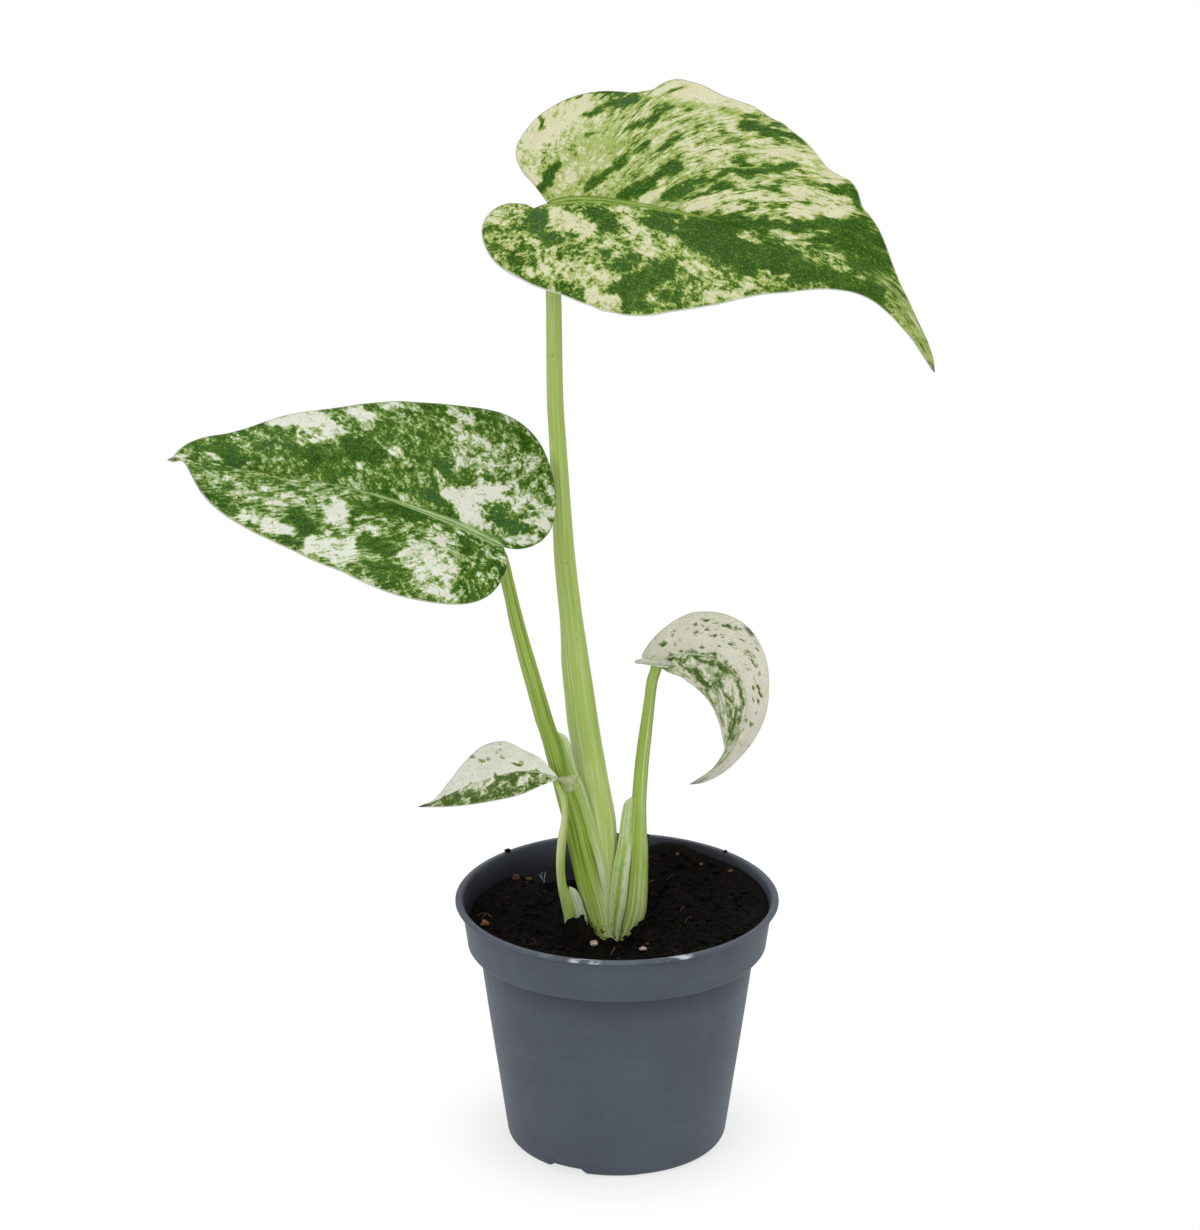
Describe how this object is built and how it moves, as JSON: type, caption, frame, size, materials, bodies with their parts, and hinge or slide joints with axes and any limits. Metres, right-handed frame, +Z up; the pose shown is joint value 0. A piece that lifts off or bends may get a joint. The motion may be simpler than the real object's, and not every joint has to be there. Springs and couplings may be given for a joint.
{
  "type": "potted monstera",
  "caption": "Young variegated monstera with long-stalked heart-shaped leaves, standing upright in soil in a round tapered nursery pot with a banded rim.",
  "frame": {"origin": "on the pot's axis, at the underside it stands on", "axes": "+Z up along the pot's axis; the big leaves face -Y, and the top leaf points to +X"},
  "size_m": [0.2698, 0.129, 0.3952],
  "materials": {
    "pot_plastic": "satin moulded polypropylene, blue-grey",
    "potting_mix": "dark crumbly peat mix",
    "stem": "dull brown-green skin",
    "leaf_stalk": "smooth, lightly ribbed, lime green",
    "leaf": "satin green mottled with cream",
    "bark": "rough tan",
    "perlite": "chalky"
  },
  "bodies": {
    "root": {"pot": "pot_plastic", "soil": "potting_mix", "stem_base": "stem", "main_petiole": "leaf_stalk", "left_petiole": "leaf_stalk", "right_petiole": "leaf_stalk", "small_petiole": "leaf_stalk", "top_blade": "leaf", "left_blade": "leaf", "right_blade": "leaf", "small_blade": "leaf", "bark_chip": "bark", "perlite_grain": "perlite", "pale_chip": "bark", "tan_grain_left": "bark", "tan_grain_right": "bark", "tan_grain_back": "bark", "rim_crumb_left": "potting_mix", "rim_crumb_back": "potting_mix", "rim_crumb_right": "potting_mix"}
  },
  "joints": []
}
